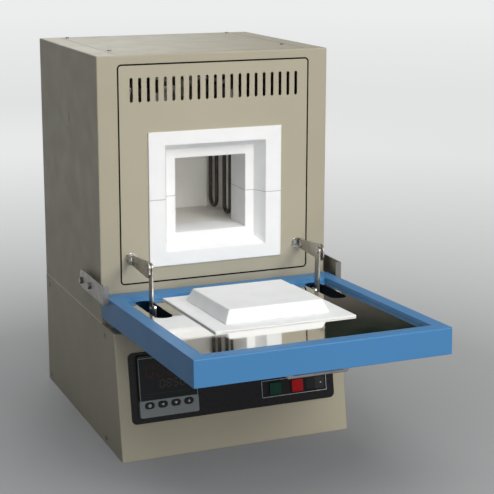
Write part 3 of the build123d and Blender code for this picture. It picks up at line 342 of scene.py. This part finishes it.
def turned(mesh, stations, axis, sides=28):
    """A closed turned solid through (centre, radius) stations, square to an axis."""
    axis = Vector(axis)
    first = axis.orthogonal().normalized()
    second = axis.cross(first)
    rings = [[mesh.verts.new((Vector(centre) + radius * (first * c + second * s)) / 1000)
              for c, s in circle(sides)[:-1]] for centre, radius in stations]
    for near, far in zip(rings, rings[1:]):
        for i in range(sides):
            j = (i + 1) % sides
            mesh.faces.new((near[i], near[j], far[j], far[i]))
    mesh.faces.new(list(reversed(rings[0])))
    mesh.faces.new(rings[-1])


def mm(x, y, z):
    return Vector((x, y, z)) / 1000


# ---------------------------------------------------------------- outlines
def bar(u0, v0, u1, v1):
    return [(u0, v0), (u1, v0), (u1, v1), (u0, v1)]


def ring_bars(u0, v0, u1, v1, width):
    """Four bars that frame a rectangle."""
    return [bar(u0, v0, u1, v0 + width),
            bar(u0, v1 - width, u1, v1),
            bar(u0, v0 + width, u0 + width, v1 - width),
            bar(u1 - width, v0 + width, u1, v1 - width)]


def circle(sides):
    """A unit circle's corners, with the first one again at the end."""
    angles = [2 * math.pi * i / sides for i in range(sides + 1)]
    return [(math.cos(angle), math.sin(angle)) for angle in angles]


def rounded(half_width, bottom, top, radius, steps=6):
    """A rectangle with rounded corners, anticlockwise from the lower right."""
    right = half_width - radius
    centres = ((right, bottom + radius, -90), (right, top - radius, 0),
               (-right, top - radius, 90), (-right, bottom + radius, 180))
    outline = []
    for u, v, start in centres:
        for step in range(steps + 1):
            angle = math.radians(start + 90 * step / steps)
            outline.append((u + radius * math.cos(angle), v + radius * math.sin(angle)))
    return outline


def band(inner, outer):
    """Quads between two paths that have as many points."""
    return [[inner[i], outer[i], outer[i + 1], inner[i + 1]] for i in range(len(inner) - 1)]


# ---------------------------------------------------------------- the sloping front
# metres: the slope rises from the floor plane to SLOPE_TOP
SLOPE_RUN, SLOPE_RISE = 0.035, 0.196
LEAN = math.atan2(SLOPE_RUN, SLOPE_RISE)
SLOPE_TOP = Vector((0.0, -0.062, SLOPE_RISE))
SLOPE_UP = Vector((0.0, math.sin(LEAN), math.cos(LEAN)))
SLOPE_OUT = Vector((0.0, -math.cos(LEAN), math.sin(LEAN)))
ACROSS = Vector((1.0, 0.0, 0.0))


def on_panel(x, up, out):
    """A point of the sloping front: across, up the slope from its top edge, and out of it."""
    return SLOPE_TOP + (ACROSS * x + SLOPE_UP * up + SLOPE_OUT * out) / 1000


def add_print(name, outlines, face, height, material, body="furnace_body"):
    """Print or thin trim that stands out of a face of the controls."""
    prisms(name, outlines, face, face + height, on_panel, body, material)


# ---------------------------------------------------------------- controller display
# a seven-segment figure: the ends of each segment, in shares of its width and height
SEGMENTS = {"a": (0, 1, 1, 1), "b": (1, 0.5, 1, 1), "c": (1, 0, 1, 0.5), "d": (0, 0, 1, 0),
            "e": (0, 0, 0, 0.5), "f": (0, 0.5, 0, 1), "g": (0, 0.5, 1, 0.5)}
DIGIT_SEGMENTS = {"0": "abcdef", "2": "abged", "5": "afgcd", "8": "abcdefg"}
SEGMENT_GAP = 0.35  # at each end, in strokes
SLANT = 0.09
PRINT = 0.08  # height of lit segments and of print
WINDOW_FACE = 8.6


def digit(text, x, up, width, height, stroke):
    """Outlines of one figure whose lower left corner is at (x, up)."""
    outlines = []
    for name in DIGIT_SEGMENTS[text]:
        x0, y0, x1, y1 = SEGMENTS[name]
        start = Vector((x + x0 * width, up + y0 * height))
        end = Vector((x + x1 * width, up + y1 * height))
        along = (end - start).normalized()
        wide = Vector((-along.y, along.x)) * stroke / 2
        start += along * stroke * SEGMENT_GAP
        end -= along * stroke * SEGMENT_GAP
        tip = along * stroke / 2
        upright = [start, start + tip + wide, end - tip + wide,
                   end, end - tip - wide, start + tip - wide]
        outlines.append([(p.x + (p.y - up) * SLANT, p.y) for p in upright])
    return outlines


def figures(text, x, up, width, height, pitch, stroke):
    outlines = []
    for place, character in enumerate(text):
        outlines += digit(character, x + pitch * place, up, width, height, stroke)
    return outlines


dim_red = glossy_cap("dim_red_segments", (0.075, 0.012, 0.012))
dim_amber = glossy_cap("dim_amber_segments", (0.085, 0.062, 0.045))
line_grey = moulded("printed_grey", (0.055, 0.062, 0.062), 0.5)
add_print("display_upper_figures",
          figures("0025", x=-148, up=-71, width=10.5, height=18, pitch=17.5, stroke=2.4),
          WINDOW_FACE, PRINT, dim_red)
add_print("display_lower_figures",
          figures("0850", x=-127, up=-89, width=7.2, height=11.5, pitch=11.2, stroke=1.7),
          WINDOW_FACE, PRINT, dim_amber)
add_print("display_marks", [bar(-150, -97.8, -78, -97.3), bar(-149, -102.4, -139, -101.9)],
          WINDOW_FACE, 0.06, line_grey)

# light rim round the controller's window
BEZEL_FACE = 9.0
rim_grey = moulded("bezel_rim", (0.26, 0.28, 0.28), 0.35)
add_print("bezel_rim", ring_bars(-160.2, -108.2, -65.8, -41.0, width=1.1),
          BEZEL_FACE, 0.12, rim_grey)

# keys: a ring, an arrow to the left, one down and one up
KEY_X = {"key_function": -145.45, "key_shift": -124.05, "key_down": -102.65, "key_up": -81.25}
KEY_UP, KEY_FACE = -115.1, 10.0
RING_INSIDE, RING_OUTSIDE = 1.2, 2.5
ARROW = ((2.4, 0), (-1.6, 2.3), (-1.6, -2.3))
ARROW_TURN = {"key_shift": math.pi, "key_down": -math.pi / 2, "key_up": math.pi / 2}
# white for the printed key symbols and for the painted highlight on the rocker
symbol_and_highlight_white = moulded("print_and_highlight_white", (0.62, 0.63, 0.62), 0.5)
for name, x in KEY_X.items():
    if name in ARROW_TURN:
        c, s = math.cos(ARROW_TURN[name]), math.sin(ARROW_TURN[name])
        outlines = [[(x + u * c - v * s, KEY_UP + u * s + v * c) for u, v in ARROW]]
    else:
        outlines = band(*([(x + radius * c, KEY_UP + radius * s) for c, s in circle(16)]
                          for radius in (RING_INSIDE, RING_OUTSIDE)))
    add_print(name + "_symbol", outlines, KEY_FACE, PRINT, symbol_and_highlight_white,
              body=name + "_cap")

# ---------------------------------------------------------------- switches
# white line printed round them, between the strip's edge and the collars
STRIP_FACE = 3.2
line_white = moulded("printed_line", (0.50, 0.50, 0.50), 0.5)
add_print("switch_frame_line", ring_bars(44.4, -129.1, 158.1, -101.9, width=0.9),
          STRIP_FACE, PRINT, line_white)

# painted highlight: a small white dot on the rocker's raised end; the rocker's face rises
# towards both its ends
ROCKER_X, ROCKER_UP, ROCKER_TILT = 138.6, -115.5, math.radians(9)
ROCKER_MIDDLE, ROCKER_HALF, ROCKER_RISE = 2.6, 15.8, 2.0
DOT_SPOT, DOT_RADIUS, DOT_HEIGHT = 9.2, 1.1, 0.1


def on_rocker(along, up, lift):
    """A point over the rocker's face: along it and up the slope from its pivot."""
    above = ROCKER_MIDDLE + abs(along) / ROCKER_HALF * ROCKER_RISE + lift
    x = ROCKER_X + along * math.cos(ROCKER_TILT) - above * math.sin(ROCKER_TILT)
    out = along * math.sin(ROCKER_TILT) + above * math.cos(ROCKER_TILT)
    return on_panel(x, ROCKER_UP + up, out)


prisms("rocker_painted_highlight",
       [[(DOT_SPOT + DOT_RADIUS * c, DOT_RADIUS * s) for c, s in circle(12)[:-1]]],
       0.0, DOT_HEIGHT, on_rocker, "rocker_cap", symbol_and_highlight_white)

# ---------------------------------------------------------------- parting line of the mouth
# two paths from the ring's edge into the throat, one just proud of the fibre and one in it,
# as (distance from the middle, depth)
MOUTH_AXIS, SEAM_HALF = 386.5, 0.25
SEAM_PROUD = ((112.3, -2.58), (85.22, -2.58), (75.12, 22.67), (59.92, 22.67), (59.92, 84.0))
SEAM_SUNK = ((112.3, -2.1), (85.6, -2.1), (75.5, 23.15), (60.4, 23.15), (60.4, 84.0))
# painted shade: a darker fibre strip along the parting line stands for the shade in the seam
seam_shade = fibre("seam_shade", (0.30, 0.29, 0.27), rounding=0.0)
for side, side_name in SIDES:
    proud, sunk = ([(side * x, y) for x, y in path] for path in (SEAM_PROUD, SEAM_SUNK))
    prisms("mouth_parting_line_" + side_name, band(proud, sunk), -SEAM_HALF, SEAM_HALF,
           lambda x, y, z: mm(x, y, MOUTH_AXIS + z),
           "furnace_body", seam_shade)

# ---------------------------------------------------------------- wall bolts of the stays
# a washer and a nut on the wall, an ear out of it, and the link's pin through the ear
BOLT_X, BOLT_Z, PIN_Y = 141.5, 297.0, -14.0
LINK_INSIDE, EAR_INSIDE, EAR_OUTSIDE = 143.5, 146.5, 149.5
EAR_HALF, EAR_RADIUS, EAR_STEPS = 7.0, 7.5, 16
WASHER = ((0, 8.8), (-1.2, 8.8), (-1.8, 8.2), (-1.8, 3.0))  # (y, radius)
NUT = ((-1.8, 5.6), (-3.5, 5.6), (-4.1, 4.9), (-4.1, 2.6))
PIN = ((LINK_INSIDE - 1.1, 3.2), (LINK_INSIDE - 0.8, 3.8), (LINK_INSIDE - 0.2, 3.8),
       (LINK_INSIDE - 0.2, 2.5), (EAR_OUTSIDE, 2.5), (EAR_OUTSIDE, 4.2),
       (EAR_OUTSIDE + 0.9, 4.2), (EAR_OUTSIDE + 1.5, 3.4))  # (distance from the middle, radius)
bolt_steel = plated("bolt_steel", (0.55, 0.54, 0.52), 0.28)
ear_outline = [(0.0, BOLT_Z - EAR_HALF), (0.0, BOLT_Z + EAR_HALF)]
for step in range(EAR_STEPS + 1):
    angle = math.pi * step / EAR_STEPS
    ear_outline.append((PIN_Y - EAR_RADIUS * math.sin(angle),
                        BOLT_Z + EAR_RADIUS * math.cos(angle)))
bolt_mesh = bmesh.new()
for side, side_name in SIDES:
    prisms("stay_ear_" + side_name, [ear_outline], side * EAR_INSIDE, side * EAR_OUTSIDE,
           lambda y, z, x: mm(x, y, z), "furnace_body", bolt_steel)
    for profile, sides in ((WASHER, 28), (NUT, 6)):
        turned(bolt_mesh, [((side * BOLT_X, y, BOLT_Z), radius) for y, radius in profile],
               axis=(0, 1, 0), sides=sides)
    turned(bolt_mesh, [((side * x, PIN_Y, BOLT_Z), radius) for x, radius in PIN],
           axis=(1, 0, 0))
bolts = add_piece("stay_wall_bolts", bolt_mesh, "furnace_body", bolt_steel)
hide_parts("stay_brackets")

# ---------------------------------------------------------------- joints of the case
# painted shade: a dark strip over the gap round the front panel
gap_shade_inside = rounded(half_width=157.9, bottom=256.6, top=597.9, radius=4.4)
gap_shade_outside = rounded(half_width=160.3, bottom=254.2, top=600.3, radius=6.8)
gap_shade_black = moulded("gap_shade_black", (0.004, 0.003, 0.003), 0.9)
prisms("front_panel_gap_shade",
       band([gap_shade_inside[-1]] + gap_shade_inside, [gap_shade_outside[-1]] + gap_shade_outside),
       -0.15, 0.0, lambda x, z, y: mm(x, y, z), "furnace_body", gap_shade_black)

# painted highlight: a bright strip along the joint of the upper case and the base, in metres
EDGE_SKIN, EDGE_INSET, EDGE_BELOW, EDGE_ABOVE = 0.00012, 0.002, 0.0004, 0.0016
base_low, base_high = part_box("base_housing")
edge_glint = powder_coat("painted_joint_highlight", (0.86, 0.81, 0.68))
edge_outline = bar(EDGE_INSET, base_high[2] - EDGE_BELOW,
                   base_high[1] - EDGE_INSET, base_high[2] + EDGE_ABOVE)
for side_name, start, end in (("left", base_low[0] - EDGE_SKIN, base_low[0]),
                              ("right", base_high[0], base_high[0] + EDGE_SKIN)):
    prisms("joint_painted_highlight_" + side_name, [edge_outline], start, end,
           lambda y, z, x: Vector((x, y, z)), "furnace_body", edge_glint)

# painted shade along the joint round the top cover, in metres
COVER_JOINT_WIDTH, COVER_JOINT_SKIN = 0.0009, 0.00006
cover_low, cover_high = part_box("top_cover")
joint_shade = powder_coat("joint_shade", (0.17, 0.155, 0.12))
prisms("top_cover_joint",
       ring_bars(cover_low[0], cover_low[1], cover_high[0], cover_high[1],
                 width=COVER_JOINT_WIDTH),
       0.0, COVER_JOINT_SKIN, lambda x, y, z: Vector((x, y, cover_high[2] + z)),
       "furnace_body", joint_shade)

# ---------------------------------------------------------------- painted shade: dark crosses on the screw heads
HEADS_TOP, HEADS_SIDE, HEADS_BACK = 615.8, 194.3, 341.8  # faces of the heads
CROSS_REACH, CROSS_HALF, CROSS_HEIGHT = 1.6, 0.35, 0.06
CROSS = (bar(-CROSS_REACH, -CROSS_HALF, CROSS_REACH, CROSS_HALF),
         bar(-CROSS_HALF, -CROSS_REACH, CROSS_HALF, CROSS_REACH))
cross_shade_paint = moulded("screw_recess_painted_shade", (0.02, 0.02, 0.02), 0.7)


def crosses(name, columns, rows, place):
    outlines = [[(u + a, v + b) for a, b in outline]
                for u in columns for v in rows for outline in CROSS]
    prisms(name, outlines, 0.0, CROSS_HEIGHT, place, "furnace_body", cross_shade_paint)


crosses("top_screw_crosses", (-148, 148), (77, 322),
        lambda x, y, lift: mm(x, y, HEADS_TOP + lift))
for side, side_name in SIDES:
    crosses(side_name + "_screw_crosses", (-15, 322), (12, 180),
            lambda y, z, lift: mm(side * (HEADS_SIDE + lift), y, z))
crosses("rear_screw_crosses", (-183, 0, 183), (12, 183, 208, 604),
        lambda x, z, lift: mm(x, HEADS_BACK + lift, z))

# ---------------------------------------------------------------- floor
# it brightens softly away from the object, up to the pale background: (position, grey) over
# the logarithm of the distance in metres, from GLOW_NEAR to GLOW_FAR
FLOOR_HALF, FLOOR_GREY = 30, (0.215, 0.215, 0.215)
GLOW_NEAR, GLOW_FAR = -0.6, 1.0
GLOW = ((0.0, 0.075), (0.25, 0.19), (0.45, 0.43), (0.65, 0.66), (1.0, 0.80))
ground = Shader("floor_grey", FLOOR_GREY, 0.9)
ground.specular(0.0)
distance = ground.add("ShaderNodeVectorMath", Vector=ground.place)
distance.operation = "LENGTH"
log_distance = math_node(ground.tree, "LOGARITHM", distance.outputs["Value"], 10.0)
spread = ground.add("ShaderNodeMapRange", Value=log_distance,
                    From_Min=GLOW_NEAR, From_Max=GLOW_FAR)
glow_stops = [(position, (grey, grey, grey)) for position, grey in GLOW]
ground.link(ground.ramp(spread.outputs["Result"], glow_stops), "Emission Color")
ground.link(seen_ray(ground.tree), "Emission Strength")
floor_mesh = bmesh.new()
bmesh.ops.create_grid(floor_mesh, x_segments=2, y_segments=2, size=FLOOR_HALF)
add_object("floor", floor_mesh, ground.material)

# ---------------------------------------------------------------- world
# a soft ambient light, and for seen rays a pale backdrop round the horizon with the unlit
# room above it, by the upward part of the ray's direction
AMBIENT_COLOR, AMBIENT_STRENGTH = (0.86, 0.93, 1.0, 1.0), 0.22
ROOM_TONES = ((0.12, (0.80, 0.80, 0.80)), (0.185, (0.16, 0.14, 0.118)),
              (0.205, (0.075, 0.068, 0.058)), (0.215, (0.012, 0.019, 0.013)))
world = bpy.data.worlds.new("studio")
scene.world = world
world.use_nodes = True
tree = world.node_tree
tree.nodes.clear()
ambient = tree.nodes.new("ShaderNodeBackground")
ambient.inputs["Color"].default_value = AMBIENT_COLOR
ambient.inputs["Strength"].default_value = AMBIENT_STRENGTH
direction = tree.nodes.new("ShaderNodeSeparateXYZ")
tree.links.new(tree.nodes.new("ShaderNodeTexCoord").outputs["Generated"], direction.inputs[0])
room = tree.nodes.new("ShaderNodeValToRGB")
tree.links.new(direction.outputs["Z"], room.inputs["Fac"])
fill_ramp(room, ROOM_TONES)
shown = tree.nodes.new("ShaderNodeBackground")
tree.links.new(room.outputs["Color"], shown.inputs["Color"])
choose = tree.nodes.new("ShaderNodeMixShader")
tree.links.new(seen_ray(tree), choose.inputs[0])
tree.links.new(ambient.outputs[0], choose.inputs[1])
tree.links.new(shown.outputs[0], choose.inputs[2])
world_output = tree.nodes.new("ShaderNodeOutputWorld")
tree.links.new(choose.outputs[0], world_output.inputs["Surface"])


# ---------------------------------------------------------------- lights and camera
def turn_to(spot, aim):
    """The turn that points a lamp or camera at spot towards aim."""
    return (Vector(aim) - Vector(spot)).to_track_quat("-Z", "Y")


def lamp(name, spot, aim, size, power, color=(1.0, 1.0, 1.0)):
    """A round area lamp."""
    data = bpy.data.lights.new(name, "AREA")
    data.shape = "DISK"
    data.size = size
    data.energy = power
    data.color = color
    lamp_object = bpy.data.objects.new(name, data)
    scene.collection.objects.link(lamp_object)
    lamp_object.location = spot
    lamp_object.rotation_euler = turn_to(spot, aim).to_euler()


lamp("key", (1.0, -2.7, 2.0), (0, 0, 0.35), size=1.5, power=52, color=(1.0, 0.99, 0.97))
lamp("front", (-0.2, -3.2, 0.75), (0, 0, 0.4), size=1.2, power=22)
lamp("top", (-0.25, -0.9, 2.6), (0, -0.2, 0.3), size=1.6, power=21, color=(0.96, 0.98, 1.0))
lamp("back", (0.4, 3.0, 2.0), (0, 0.2, 0.35), size=1.8, power=25)

# the photograph's viewing angle
CAMERA_SPOT = (-0.7840, -2.0029, 0.8193)
CAMERA_AIM = (0.05394, 0.0, 0.33370)
CAMERA_ROLL, CAMERA_LENS, CAMERA_SHIFT = 0.0022, 100.51, -0.0445
camera_data = bpy.data.cameras.new("camera")
camera_data.sensor_width = 36
camera_data.lens = CAMERA_LENS
camera_data.shift_y = CAMERA_SHIFT
camera = bpy.data.objects.new("camera", camera_data)
scene.collection.objects.link(camera)
camera.location = CAMERA_SPOT
roll = Quaternion((0, 0, 1), CAMERA_ROLL)
camera.rotation_euler = (turn_to(CAMERA_SPOT, CAMERA_AIM) @ roll).to_euler()
scene.camera = camera
scene.view_settings.view_transform = "Standard"
